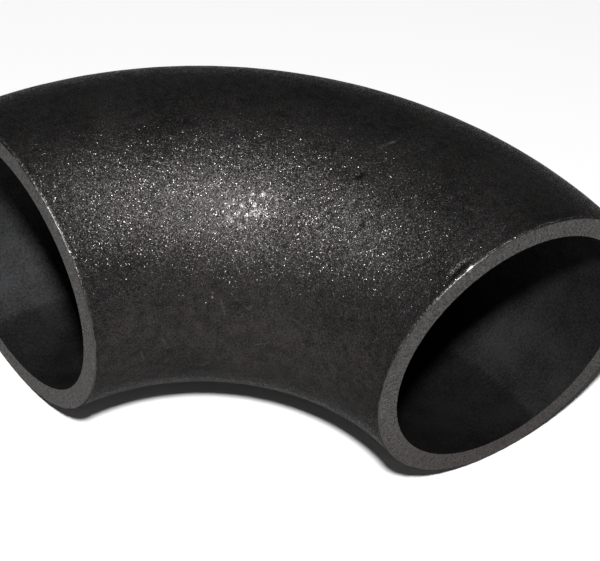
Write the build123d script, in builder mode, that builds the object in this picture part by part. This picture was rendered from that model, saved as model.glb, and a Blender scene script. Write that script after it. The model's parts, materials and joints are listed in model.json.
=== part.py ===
import os
from math import cos, radians, sin

from build123d import *

# Butt weld elbow: one seamless steel bend of long radius, with both ends sawn square.
# It lies on its side, with its flow path in one level plane, and it rests on Z = 0.
# The origin is on that surface, under the middle of the elbow's outline.

# The pipe that it is welded to
outside_diameter = 42.4
wall = 2.9

# The bend, about an upright axis
bend_radius = 47.5  # from the bend axis to the middle of the bore
bend_angle = 90.0

# The outer edges of the sawn ends are broken by hand, and the bore keeps its sharp edge
edge_break = 0.3

outside_radius = outside_diameter / 2
bore_radius = outside_radius - wall

# How far the outline reaches from the bend axis
throat = bend_radius - outside_radius
back = bend_radius + outside_radius
least_x = min(throat * cos(radians(bend_angle)), back * cos(radians(bend_angle)))
greatest_y = back * sin(radians(min(bend_angle, 90)))

# The bend axis stands where that outline is centred on the origin
bend_x = -(least_x + back) / 2
bend_y = -greatest_y / 2
bend_axis = Axis((bend_x, bend_y, 0), (0, 0, 1))

# The first end faces -Y, and the bend turns from there towards the second end
first_end = Plane(
    origin=(bend_x + bend_radius, bend_y, outside_radius), x_dir=(1, 0, 0), z_dir=(0, -1, 0)
)

with BuildPart() as elbow:
    with BuildSketch(first_end):
        Circle(outside_radius)
        Circle(bore_radius, mode=Mode.SUBTRACT)
    revolve(axis=bend_axis, revolution_arc=bend_angle)

    # Of the round edges, the mouths of the bore are the smallest and the rims come next
    rims = elbow.edges().filter_by(GeomType.CIRCLE).group_by(SortBy.RADIUS)[1]
    chamfer(rims, length=edge_break)

elbow.part.label = "elbow"

os.makedirs("parts", exist_ok=True)
export_step(elbow.part, "parts/elbow.step")
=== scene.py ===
import json
from math import cos, pi, radians, sin, tau

import bpy
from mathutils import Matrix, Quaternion, Vector


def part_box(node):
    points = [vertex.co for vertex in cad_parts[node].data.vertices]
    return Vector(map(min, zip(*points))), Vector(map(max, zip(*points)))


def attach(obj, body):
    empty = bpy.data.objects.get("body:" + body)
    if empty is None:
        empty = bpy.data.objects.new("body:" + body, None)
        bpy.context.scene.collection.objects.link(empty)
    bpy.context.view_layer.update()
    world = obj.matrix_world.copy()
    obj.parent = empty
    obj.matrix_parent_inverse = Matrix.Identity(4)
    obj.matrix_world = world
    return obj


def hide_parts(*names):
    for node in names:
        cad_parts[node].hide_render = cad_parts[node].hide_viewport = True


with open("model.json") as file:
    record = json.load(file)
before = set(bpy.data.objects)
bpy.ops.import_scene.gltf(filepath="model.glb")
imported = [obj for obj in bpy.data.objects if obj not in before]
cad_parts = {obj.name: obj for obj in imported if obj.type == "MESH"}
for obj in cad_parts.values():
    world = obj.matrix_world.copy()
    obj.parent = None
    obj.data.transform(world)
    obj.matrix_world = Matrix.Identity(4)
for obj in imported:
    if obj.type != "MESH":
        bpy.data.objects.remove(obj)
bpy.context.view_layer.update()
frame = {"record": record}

mm = 0.001  # everything below is in metres

# The elbow's sizes come from the frame: it lies on its side, and its bend axis is upright
low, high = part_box("elbow")
outsideRadius = (high.z - low.z) / 2
bendRadius = (high.x - low.x) - outsideRadius
bendAxis = Vector((low.x, low.y, low.z + outsideRadius))


def mountCentre(name):
    found = [m for m in frame["record"]["mounts"] if m["name"] == name][0]
    return Vector(found["pos_m"])


# The mount of the first end stands in the middle of its wall, straight above the bore
boreRadius = 2 * (mountCentre("end_a").z - bendAxis.z) - outsideRadius


class Link:
    # One socket of a tree, so that sums on sockets read as plain sums
    def __init__(self, tree, socket):
        self.tree, self.socket = tree, socket

    def __add__(self, other): return self.tree.maths("ADD", self, other)
    def __radd__(self, other): return self.tree.maths("ADD", other, self)
    def __sub__(self, other): return self.tree.maths("SUBTRACT", self, other)
    def __rsub__(self, other): return self.tree.maths("SUBTRACT", other, self)
    def __mul__(self, other): return self.tree.maths("MULTIPLY", self, other)
    def __rmul__(self, other): return self.tree.maths("MULTIPLY", other, self)
    def __truediv__(self, other): return self.tree.maths("DIVIDE", self, other)
    def __rtruediv__(self, other): return self.tree.maths("DIVIDE", other, self)
    def __gt__(self, other): return self.tree.maths("GREATER_THAN", self, other)
    def __lt__(self, other): return self.tree.maths("LESS_THAN", self, other)

    def out(self, name):
        # Another output of the same node
        found = [s for s in self.socket.node.outputs if s.name == name and s.enabled]
        return Link(self.tree, found[0])


class Tree:
    # A node tree, of a material or of Geometry Nodes
    def __init__(self, nodeTree):
        self.nodeTree = nodeTree
        self.nodes = nodeTree.nodes
        self.nodes.clear()

    def node(self, kind, settings=None, inputs=None):
        made = self.nodes.new(kind)
        for name, value in (settings or {}).items():
            setattr(made, name, value)
        for name, value in (inputs or {}).items():
            if isinstance(name, int):
                socket = made.inputs[name]
            else:
                socket = [s for s in made.inputs if s.name == name and s.enabled][0]
            for one in value if isinstance(value, list) else [value]:
                self.feed(socket, one)
        shown = [s for s in made.outputs if s.enabled]
        return Link(self, shown[0]) if shown else None

    def feed(self, socket, value):
        if isinstance(value, Link):
            self.nodeTree.links.new(value.socket, socket)
        else:
            socket.default_value = value

    def maths(self, operation, *values):
        return self.node("ShaderNodeMath", {"operation": operation}, dict(enumerate(values)))

    def vector(self, operation, *values):
        return self.node("ShaderNodeVectorMath", {"operation": operation}, dict(enumerate(values)))

    def lowest(self, *values): return self.maths("MINIMUM", *values)
    def highest(self, *values): return self.maths("MAXIMUM", *values)
    def sine(self, value): return self.maths("SINE", value)
    def cosine(self, value): return self.maths("COSINE", value)
    def combine(self, x, y, z): return self.node("ShaderNodeCombineXYZ", {}, {"X": x, "Y": y, "Z": z})
    def separate(self, vector): return self.node("ShaderNodeSeparateXYZ", {}, {"Vector": vector})

    def ramp(self, value, start, end):
        # 0 at start, 1 at end, with soft shoulders; start may lie above end
        if start < end:
            return self.node("ShaderNodeMapRange", {"interpolation_type": "SMOOTHSTEP"},
                             {"Value": value, "From Min": start, "From Max": end})
        return 1 - self.ramp(value, end, start)

    def noise(self, place, size, detail=2.0, roughness=0.5):
        # Cloudy values about 0.5, with lumps of that size
        return self.node("ShaderNodeTexNoise", {},
                         {"Vector": place, "Scale": 1 / size, "Detail": detail, "Roughness": roughness})

    def cells(self, place, size):
        # Distance is the first output; Color holds a chance value for each grain
        return self.node("ShaderNodeTexVoronoi", {}, {"Vector": place, "Scale": 1 / size})

    def mixColour(self, share, first, second, blend="MIX"):
        return self.node("ShaderNodeMix", {"data_type": "RGBA", "blend_type": blend},
                         {"Factor": share, "A": first, "B": second})

    def fromLine(self, place, start, end):
        # Distance from the straight line between two points
        run = end - start
        if run.length < 1e-7:
            return self.vector("DISTANCE", place, start).out("Value")
        along = self.vector("DOT_PRODUCT", self.vector("SUBTRACT", place, start), run).out("Value")
        share = self.lowest(1.0, self.highest(0.0, along / run.length_squared))
        nearest = self.vector("ADD", self.node("ShaderNodeVectorMath", {"operation": "SCALE"},
                                               {0: run, "Scale": share}), start)
        return self.vector("DISTANCE", place, nearest).out("Value")


def onSkin(bend, section, radius=outsideRadius):
    # A point by its place along the bend, from the first end, and round the section, from
    # the back over the top to the throat, both in degrees
    reach = bendRadius + radius * cos(radians(section))
    return bendAxis + Vector((reach * cos(radians(bend)), reach * sin(radians(bend)),
                              radius * sin(radians(section))))


elbow = {
    "edgeBreak": 0.17 * mm,  # the outer edges are broken with a file
    "edgeWander": 0.22 * mm,
    "wave": 0.06 * mm,  # hammered and blasted skin
    "waveSize": 3.2 * mm,
    "lump": 0.035 * mm,
    "lumpSize": 1.1 * mm,
    "columns": 200,
    "rows": 360,
    "boreColumns": 36,
    "faceColumns": 5,
    "edgeColumns": 4,
}
# The marks that the elbow has from its making and storing, each from one place to another
pits = [
    {"from": (29.5, 107), "to": (29, 105), "width": 0.5 * mm, "depth": 0.11 * mm},
    {"from": (24.5, 122), "to": (24.5, 123), "width": 0.45 * mm, "depth": 0.12 * mm},
    {"from": (1.7, 119), "to": (2.0, 112.5), "width": 0.5 * mm, "depth": 0.18 * mm},
    {"from": (12, 90), "to": (12.5, 89.5), "width": 0.5 * mm, "depth": 0.1 * mm},
]
marks = {
    # Pale scuffs on the throat side, where elbows rub against each other
    "scuff": [
        {"from": (53.3, 162), "to": (52, 167.5), "width": 0.28 * mm, "share": 0.20},
        {"from": (45.8, 164), "to": (44.3, 162), "width": 0.34 * mm, "share": 0.17},
        {"from": (69.6, 178), "to": (67.8, 182.5), "width": 0.36 * mm, "share": 0.20},
        {"from": (43, 179.5), "to": (39.3, 177), "width": 0.34 * mm, "share": 0.20},
        {"from": (57.6, 195), "to": (56.3, 193), "width": 0.36 * mm, "share": 0.25},
        {"from": (75.7, 182), "to": (74.7, 188), "width": 0.26 * mm, "share": 0.20},
        {"from": (29, 92.5), "to": (27.5, 87), "width": 0.40 * mm, "share": 1.0},
    ],
    # Small places that are scraped to bare steel
    "bare": [
        {"from": (27.9, 88.5), "to": (27.5, 87), "width": 0.14 * mm, "share": 0.5},
        {"from": (34.5, 88.5), "to": (34.8, 88.2), "width": 0.12 * mm, "share": 0.5},
        {"from": (32, 91.5), "to": (32.3, 90.5), "width": 0.12 * mm, "share": 0.25},
        {"from": (12.4, 89.8), "to": (12.7, 89.5), "width": 0.14 * mm, "share": 0.7},
        {"from": (55.5, 161), "to": (55.7, 160.4), "width": 0.14 * mm, "share": 0.5},
        {"from": (0, 114), "to": (0.4, 112.6), "width": 0.34 * mm, "share": 1.0},
    ],
    "rust": [{"from": (1.1, 116), "to": (1.1, 113), "width": 0.35 * mm, "share": 0.8}],
    "dark": [
        {"from": (29.5, 107), "to": (29, 105), "width": 0.85 * mm, "share": 0.95},
        {"from": (24.5, 122), "to": (24.5, 123), "width": 0.60 * mm, "share": 0.8},
        {"from": (1.7, 119), "to": (2.0, 114), "width": 0.45 * mm, "share": 0.9},
    ],
}
finishes = {"scuff": (0.20, 0.195, 0.19, 1), "bare": (0.65, 0.65, 0.65, 1),
            "rust": (0.060, 0.030, 0.020, 1), "dark": (0.006, 0.006, 0.006, 1)}
nicks = [
    {"end": 0, "section": 113, "width": 0.9 * mm, "depth": 0.2 * mm},
    {"end": 0, "section": 100, "width": 0.6 * mm, "depth": 0.12 * mm},
    {"end": 0, "section": 176, "width": 0.5 * mm, "depth": 0.12 * mm},
    {"end": 90, "section": 138, "width": 0.8 * mm, "depth": 0.2 * mm},
    {"end": 90, "section": 170, "width": 0.5 * mm, "depth": 0.12 * mm},
]


def newMaterial(name):
    made = bpy.data.materials.new(name)
    made.use_nodes = True
    return made, Tree(made.node_tree)


def finishMaterial(tree, colour, roughness, metallic, normal):
    # Scaled steel stays dark where it is seen at a slant, so the edge tint is low
    surface = tree.node("ShaderNodeBsdfPrincipled", {}, {
        "Base Color": colour, "Roughness": roughness, "Metallic": metallic, "Normal": normal,
        "Specular Tint": grey(0.2)})
    tree.node("ShaderNodeOutputMaterial", {}, {"Surface": surface})


def relief(tree, height, depth):
    return tree.node("ShaderNodeBump", {}, {"Height": height, "Distance": depth})


def inSection(tree, place):
    # Degrees round the section: 0 at the back, 90 on top, 180 at the throat, -90 below,
    # and the distance from the middle of the bore
    at = tree.separate(tree.vector("SUBTRACT", place, bendAxis))
    reach = tree.maths("SQRT", at * at + at.out("Y") * at.out("Y")) - bendRadius
    radius = tree.maths("SQRT", reach * reach + at.out("Z") * at.out("Z"))
    return tree.maths("ARCTAN2", at.out("Z"), reach) * (180 / pi), radius


def grey(level, warmth=0.0):
    # Warmth adds red and takes a little blue away
    return (level * (1 + warmth), level, level * (1 - warmth / 3), 1)


def markShare(tree, place, finish, fine):
    # How much of a finish shows at each place, its edge made ragged by the fine noise
    share = 0.0
    for mark in marks[finish]:
        away = tree.fromLine(place, onSkin(*mark["from"]), onSkin(*mark["to"]))
        ragged = away + (fine - 0.5) * 1.5 * mark["width"]
        share = tree.highest(share, tree.ramp(ragged, mark["width"], 0) * mark["share"])
    if finish == "scuff":  # a scuff only touches the high grains
        share = share * tree.ramp(fine, 0.36, 0.60)
    return share


def withMarks(tree, place, colour, fine):
    for finish in marks:
        share = markShare(tree, place, finish, fine)
        colour = tree.mixColour(share, colour, finishes[finish])
    return colour


def blastedSkin():
    look = {
        # The paler highlight colour and the place it spans below are a painted highlight
        "dark": grey(0.015, 0.05), "light": grey(0.092, 0.05), "paintedHighlight": grey(0.30, 0.03),
        "grain": 0.098 * mm, "patch": 1.3 * mm, "cloud": 9 * mm,
        "roughness": 0.46, "grainRoughness": 0.20, "tilt": 0.50,
        "grainDepth": 0.028 * mm, "patchDepth": 0.11 * mm,
        # The throat tone below is painted shade on the throat side
        "metallic": 0.86, "paintedThroatShade": 0.42,
        "smoothLean": 0.18, "stain": (0.036, 0.0305, 0.0275, 1), "stainSize": 1.7 * mm,
        "mottle": 0.6, "scraped": grey(0.38, 0.05), "chip": 0.24 * mm, "rimReach": 0.7 * mm,
        "paintedHighlightFrom": (50.5, 129), "paintedHighlightTo": (45, 124.5), "paintedHighlightReach": 2.8 * mm,
    }
    made, tree = newMaterial("blastedSkin")
    place = tree.node("ShaderNodeTexCoord").out("Object")
    grains = tree.cells(place, look["grain"])
    chance = tree.node("ShaderNodeTexWhiteNoise", {}, {"Vector": grains.out("Color")})
    patch = tree.noise(place, look["patch"], 3, 0.6)
    cloud = tree.noise(place, look["cloud"], 2)
    fine = tree.noise(place, look["grain"] * 2, 3, 0.6)
    # Blasting left some grains smooth and tilted, and those catch the light
    smoothGrain = chance > 0.87 - 0.38 * tree.ramp(patch, 0.44, 0.68)
    smoothGrain = smoothGrain * (1 - markShare(tree, place, "dark", fine))
    tone = tree.ramp(fine * 0.7 + patch * 0.35 + cloud * 0.3, 0.40, 0.93)
    tone = tone * (0.45 + 0.95 * tree.separate(chance.out("Color")).out("Y"))
    # The throat side is painted darker, as painted shade
    section, radius = inSection(tree, place)
    throat = tree.ramp(tree.maths("ABSOLUTE", section), 125, 165)
    tone = tone * (1 - (1 - look["paintedThroatShade"]) * throat)
    colour = tree.mixColour(tone, look["dark"], look["light"])
    # and it is faintly stained brown there, in blotches
    blotch = tree.noise(place, look["stainSize"], 4, 0.65)
    stained = tree.ramp(blotch, 0.44, 0.66) * (0.10 + 0.45 * throat)
    colour = tree.mixColour(stained, colour, look["stain"])
    mottle = tree.ramp(fine * 0.6 + blotch * 0.4, 0.38, 0.62) - 0.5
    mottle = 1 + look["mottle"] * throat * mottle
    colour = tree.mixColour(1.0, colour, tree.combine(mottle, mottle, mottle), "MULTIPLY")
    # Both rims are chipped and scraped from handling, but not down by the throat
    fromAxis = tree.separate(tree.vector("SUBTRACT", place, bendAxis))
    rimAway = tree.lowest(fromAxis, fromAxis.out("Y")) + (fine - 0.5) * look["rimReach"]
    chips = tree.ramp(tree.noise(place, look["chip"], 3, 0.7), 0.48, 0.58)
    upper = tree.ramp(section, 40, 80) * tree.ramp(section, 165, 140)
    scraped = tree.ramp(rimAway, look["rimReach"], 0) * chips * upper
    colour = tree.mixColour(scraped, colour, look["scraped"])
    # One place above the throat is painted brighter in clumps, a painted highlight where the lamp's
    # reflection falls
    away = tree.fromLine(place, onSkin(*look["paintedHighlightFrom"]), onSkin(*look["paintedHighlightTo"]))
    clumps = tree.ramp(tree.noise(place, look["patch"] * 0.6, 3, 0.7), 0.48, 0.64)
    paintedHighlight = tree.ramp(away, look["paintedHighlightReach"], 0) * clumps
    colour = tree.mixColour(paintedHighlight, colour, look["paintedHighlight"])
    colour = withMarks(tree, place, colour, fine)
    roughness = look["roughness"] + 0.15 * (patch - 0.5) \
        - (look["roughness"] - look["grainRoughness"]) * smoothGrain
    height = fine * look["grainDepth"] + patch * look["patchDepth"]
    bumped = relief(tree, height / mm, mm)
    lean = tree.vector("SUBTRACT", grains.out("Color"), (0.5, 0.5, 0.5))
    lean = tree.node("ShaderNodeVectorMath", {"operation": "SCALE"},
                     {0: lean, "Scale": look["tilt"] + look["smoothLean"] * smoothGrain})
    normal = tree.vector("NORMALIZE", tree.vector("ADD", bumped, lean))
    finishMaterial(tree, colour, roughness, look["metallic"], normal)
    return made


def sawnFace():
    look = {"dark": grey(0.012, 0.06), "light": grey(0.130, 0.07), "grain": 0.26 * mm,
            "streak": 0.40 * mm, "stretch": 0.3, "depth": 0.05 * mm, "roughness": 0.6,
            "metallic": 0.35, "soil": (0.028, 0.021, 0.018, 1), "soiled": 0.5}
    made, tree = newMaterial("sawnFace")
    place = tree.node("ShaderNodeTexCoord").out("Object")
    grain = tree.noise(place, look["grain"], 3, 0.6)
    # The cutter's marks run across the wall, from the bore to the skin
    section, radius = inSection(tree, place)
    across = tree.combine(section * radians(outsideRadius), radius * look["stretch"], 0.0)
    streak = tree.noise(across, look["streak"], 2)
    tone = tree.ramp(grain * 0.8 + streak * 0.3, 0.36, 0.80)
    colour = tree.mixColour(tone, look["dark"], look["light"])
    # Only the foot of the first end is soiled
    fromAxis = tree.separate(tree.vector("SUBTRACT", place, bendAxis))
    foot = tree.ramp(fromAxis.out("Z"), 0, -outsideRadius) * tree.ramp(fromAxis.out("Y"), 2 * mm, mm)
    colour = tree.mixColour(foot * look["soiled"], colour, look["soil"])
    colour = withMarks(tree, place, colour, grain)
    finishMaterial(tree, colour, look["roughness"] + 0.15 * (grain - 0.5), look["metallic"],
                   relief(tree, grain * 0.7 + streak, look["depth"]))
    return made


def brokenEdge():
    # The bright colour and the top range below make a painted highlight on the rims' upper side
    look = {"dark": grey(0.075, 0.04), "bright": grey(0.30), "chip": 0.34 * mm, "run": 3.2 * mm,
            "roughness": 0.42, "top": (70, 90, 130, 145)}
    made, tree = newMaterial("brokenEdge")
    place = tree.node("ShaderNodeTexCoord").out("Object")
    chip = tree.noise(place, look["chip"], 4, 0.7)
    run = tree.noise(place, look["run"], 2)
    # Handling has rubbed the rims to bare metal in places, and they are painted brighter only on their
    # upper inner side, a painted highlight where the glint falls
    section, radius = inSection(tree, place)
    paintedHighlight = tree.ramp(section, *look["top"][:2]) * tree.ramp(section, *look["top"][:1:-1])
    tone = tree.ramp(chip, 0.47, 0.60) * tree.ramp(run, 0.44, 0.58) * paintedHighlight
    colour = withMarks(tree, place, tree.mixColour(tone, look["dark"], look["bright"]), chip)
    finishMaterial(tree, colour, look["roughness"] + 0.2 * (chip - 0.5), 1.0,
                   relief(tree, chip, 0.04 * mm))
    return made


def boreScale():
    look = {"back": (0.0260, 0.0262, 0.0272, 1), "throat": (0.0150, 0.0150, 0.0152, 1),
            "seam": -72, "grain": 0.3 * mm, "roughness": 0.6, "depth": 0.05 * mm,
            # The two end factors below paint shade near the first end and light near the second
            "paintedShadeFirstEnd": 0.66, "paintedLightSecondEnd": 1.22}
    made, tree = newMaterial("boreScale")
    place = tree.node("ShaderNodeTexCoord").out("Object")
    section, radius = inSection(tree, place)
    grain = tree.noise(place, look["grain"], 3, 0.6)
    cloud = tree.noise(place, 5 * mm, 3)
    # The bore has one tone from the seam line round the back to the top, and a darker one from the top
    # over the throat and the bottom round to the seam
    side = tree.ramp(section + (grain - 0.5) * 3, look["seam"] - 2, look["seam"] + 2)
    upper = tree.ramp(section, 100, 60)
    colour = tree.mixColour(side * upper, look["throat"], look["back"])
    mottle = 0.55 + 0.9 * tree.ramp(grain * 0.6 + cloud * 0.4, 0.35, 0.65)
    # The bore is painted darker towards the first end and paler towards the second, painted shade and
    # painted light from how the lamp reaches into each end
    along = tree.separate(tree.vector("SUBTRACT", place, bendAxis))
    turned = tree.maths("ARCTAN2", along.out("Y"), along) / radians(90)
    mottle = mottle * (look["paintedShadeFirstEnd"] + (look["paintedLightSecondEnd"] - look["paintedShadeFirstEnd"]) * turned)
    shade = tree.combine(mottle, mottle, mottle)
    colour = tree.mixColour(1.0, colour, shade, "MULTIPLY")
    finishMaterial(tree, colour, look["roughness"], 0.5, relief(tree, grain, look["depth"]))
    return made


def elbowTree(zones):
    # Strips that share their rows: skin, two edges, two sawn faces and the bore
    group = bpy.data.node_groups.new("elbowStrips", "GeometryNodeTree")
    face = group.interface
    face.new_socket("Geometry", in_out="INPUT", socket_type="NodeSocketGeometry")
    sizes = {"Bend Radius": bendRadius, "Outside Radius": outsideRadius,
             "Bore Radius": boreRadius, "Bend Angle": radians(90),
             "Edge Break": elbow["edgeBreak"], "Edge Wander": elbow["edgeWander"],
             "Wave": elbow["wave"], "Lump": elbow["lump"]}
    for name in sizes:
        face.new_socket(name, in_out="INPUT", socket_type="NodeSocketFloat")
    face.new_socket("Bend Axis", in_out="INPUT", socket_type="NodeSocketVector")
    sizes["Bend Axis"] = bendAxis
    face.new_socket("Geometry", in_out="OUTPUT", socket_type="NodeSocketGeometry")

    tree = Tree(group)
    given = tree.node("NodeGroupInput")
    bend, outer, bore = (given.out(n) for n in ("Bend Radius", "Outside Radius", "Bore Radius"))
    angle, axis = given.out("Bend Angle"), given.out("Bend Axis")
    here = tree.separate(tree.node("GeometryNodeInputPosition"))
    across, turn = here + 0.5, (here.out("Y") + 0.5) * tau

    def point(share, radius):
        # share is the angle round the bend axis
        reach = bend + radius * tree.cosine(turn)
        flat = tree.combine(reach * tree.cosine(share), reach * tree.sine(share),
                            radius * tree.sine(turn))
        return tree.vector("ADD", flat, axis)

    def breakWidth(end):
        # The file wandered along each rim, and the rim is nicked in a few places
        at = point(angle * end, outer)
        wander = (tree.noise(at, 0.9 * mm, 3) - 0.5) * 2 * given.out("Edge Wander")
        width = given.out("Edge Break") + wander
        for nick in nicks:
            if nick["end"] == 90 * end:
                away = tree.vector("DISTANCE", at, onSkin(nick["end"], nick["section"])).out("Value")
                width = width + nick["depth"] * tree.ramp(away, nick["width"], 0)
        return tree.highest(width, 0.05 * mm)

    widths = [breakWidth(0), breakWidth(1)]
    rimReach = bend + outer * tree.cosine(turn)
    starts = [widths[0] / rimReach, angle - widths[1] / rimReach]

    def skinPoint():
        share = starts[0] + (starts[1] - starts[0]) * across
        at = point(share, outer)
        wave = tree.noise(at, elbow["waveSize"], 2) * given.out("Wave")
        lump = tree.noise(at, elbow["lumpSize"], 3) * given.out("Lump")
        sunk = wave + lump
        for pit in pits:
            away = tree.fromLine(at, onSkin(*pit["from"]), onSkin(*pit["to"]))
            sunk = sunk + pit["depth"] * tree.ramp(away, pit["width"], 0)
        rimAway = tree.lowest(across, 1 - across) * angle * rimReach
        return point(share, outer - sunk * tree.ramp(rimAway, 0, 0.8 * mm))

    def edgePoint(end):
        # A rounded quarter between the sawn face and the skin
        width = widths[end]
        along = width * (1 - tree.cosine(across * (pi / 2)))
        down = width * (1 - tree.sine(across * (pi / 2)))
        share = along / rimReach if end == 0 else angle - along / rimReach
        return point(share, outer - down)

    def facePoint(end):
        rim = outer - widths[end]
        return point(angle * end, bore + (rim - bore) * across)

    def borePoint():
        return point(angle * across, bore)

    def strip(columns, place, zone, turned):
        grid = tree.node("GeometryNodeMeshGrid", {}, {
            "Size X": 1.0, "Size Y": 1.0, "Vertices X": columns, "Vertices Y": elbow["rows"] + 1})
        moved = tree.node("GeometryNodeSetPosition", {}, {"Geometry": grid, "Position": place})
        if turned:
            moved = tree.node("GeometryNodeFlipFaces", {}, {"Mesh": moved})
        return tree.node("GeometryNodeStoreNamedAttribute", {"data_type": "INT", "domain": "FACE"},
                         {"Geometry": moved, "Name": "zone", "Value": zone})

    # A strip is turned where its own faces would point into the wall
    strips = [strip(elbow["columns"], skinPoint(), 0, False),
              strip(elbow["edgeColumns"], edgePoint(0), 1, False),
              strip(elbow["edgeColumns"], edgePoint(1), 1, True),
              strip(elbow["faceColumns"], facePoint(0), 2, False),
              strip(elbow["faceColumns"], facePoint(1), 2, True),
              strip(elbow["boreColumns"], borePoint(), 3, True)]
    joined = tree.node("GeometryNodeJoinGeometry", {}, {"Geometry": strips})
    closed = tree.node("GeometryNodeMergeByDistance", {}, {"Geometry": joined, "Distance": 0.004 * mm})
    smooth = tree.node("GeometryNodeSetShadeSmooth", {"domain": "FACE"},
                       {"Geometry": closed, "Shade Smooth": True})
    corner = tree.node("GeometryNodeInputMeshEdgeAngle") > radians(50)
    crisp = tree.node("GeometryNodeSetShadeSmooth", {"domain": "EDGE"},
                      {"Geometry": smooth, "Selection": corner, "Shade Smooth": False})
    result = tree.node("GeometryNodeRealizeInstances", {}, {"Geometry": crisp})
    zoneOf = tree.node("GeometryNodeInputNamedAttribute", {"data_type": "INT"}, {"Name": "zone"})
    for index, material in enumerate(zones):
        chosen = tree.node("FunctionNodeCompare", {"data_type": "INT", "operation": "EQUAL"},
                           {"A": zoneOf, "B": index})
        result = tree.node("GeometryNodeSetMaterial", {},
                           {"Geometry": result, "Selection": chosen, "Material": material})
    tree.node("NodeGroupOutput", {}, {"Geometry": result})
    return group, sizes


def bake(name, group, sizes):
    # The tree's result as a plain mesh object, with no modifier left on it
    carrier = bpy.data.objects.new(name + "Carrier", bpy.data.meshes.new(name + "Carrier"))
    bpy.context.scene.collection.objects.link(carrier)
    modifier = carrier.modifiers.new("strips", "NODES")
    modifier.node_group = group
    for item in group.interface.items_tree:
        if item.in_out == "INPUT" and item.name in sizes:
            modifier[item.identifier] = sizes[item.name]
    evaluated = carrier.evaluated_get(bpy.context.evaluated_depsgraph_get())
    mesh = bpy.data.meshes.new_from_object(evaluated)
    mesh.name = name
    carrier.modifiers.remove(modifier)
    bpy.data.objects.remove(carrier)
    made = bpy.data.objects.new(name, mesh)
    bpy.context.scene.collection.objects.link(made)
    return made


def makeElbow():
    zones = [blastedSkin(), brokenEdge(), sawnFace(), boreScale()]
    made = bake("weldElbow", *elbowTree(zones))
    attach(made, "root")
    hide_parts("elbow")
    print("elbow:", len(made.data.vertices), "points,", len(made.data.polygons), "faces")
    return made


def makeFloor():
    size = {"half": 2.5, "colour": grey(0.97)}
    mesh = bpy.data.meshes.new("floor")
    corners = [(x * size["half"], y * size["half"], 0) for x, y in ((-1, -1), (1, -1), (1, 1), (-1, 1))]
    mesh.from_pydata(corners, [], [(0, 1, 2, 3)])
    made = bpy.data.objects.new("floor", mesh)
    bpy.context.scene.collection.objects.link(made)
    material, tree = newMaterial("paleFloor")
    surface = tree.node("ShaderNodeBsdfDiffuse", {}, {"Color": size["colour"]})
    tree.node("ShaderNodeOutputMaterial", {}, {"Surface": surface})
    mesh.materials.append(material)
    print("floor")


def makeLight():
    # A flash head stood above the lens; what else lit the elbow was the pale room
    flash = {"place": Vector((-0.231, -0.308, 0.619)), "aim": Vector((0, 0, 0.02)),
             "width": 0.055, "level": 1.3, "room": 0.065}
    lamp = bpy.data.lights.new("flash", "AREA")
    lamp.shape = "DISK"
    lamp.size = flash["width"]
    away = flash["aim"] - flash["place"]
    lamp.energy = flash["level"] * pi * pi * away.length_squared
    made = bpy.data.objects.new("flash", lamp)
    made.location = flash["place"]
    made.rotation_mode = "QUATERNION"
    made.rotation_quaternion = away.to_track_quat("-Z", "Y")
    bpy.context.scene.collection.objects.link(made)

    world = bpy.data.worlds.new("room")
    world.use_nodes = True
    tree = Tree(world.node_tree)
    surface = tree.node("ShaderNodeBackground", {}, {"Color": grey(1.0), "Strength": flash["room"]})
    tree.node("ShaderNodeOutputWorld", {}, {"Surface": surface})
    bpy.context.scene.world = world
    print("light")


def makeCamera():
    view = {"place": Vector((-0.20204, -0.27743, 0.37679)), "heading": radians(53.44),
            "dip": radians(46.87), "roll": radians(3.27), "lens": 220.9, "sensor": 36}
    forward = Vector((cos(view["dip"]) * cos(view["heading"]),
                      cos(view["dip"]) * sin(view["heading"]), -sin(view["dip"])))
    data = bpy.data.cameras.new("camera")
    data.lens, data.sensor_width = view["lens"], view["sensor"]
    data.clip_start, data.clip_end = 0.01, 20
    made = bpy.data.objects.new("camera", data)
    made.location = view["place"]
    made.rotation_mode = "QUATERNION"
    made.rotation_quaternion = forward.to_track_quat("-Z", "Y") @ Quaternion((0, 0, 1), view["roll"])
    bpy.context.scene.collection.objects.link(made)
    bpy.context.scene.camera = made
    bpy.context.scene.view_settings.view_transform = "Standard"
    print("camera")


makeCamera()
makeElbow()
makeFloor()
makeLight()
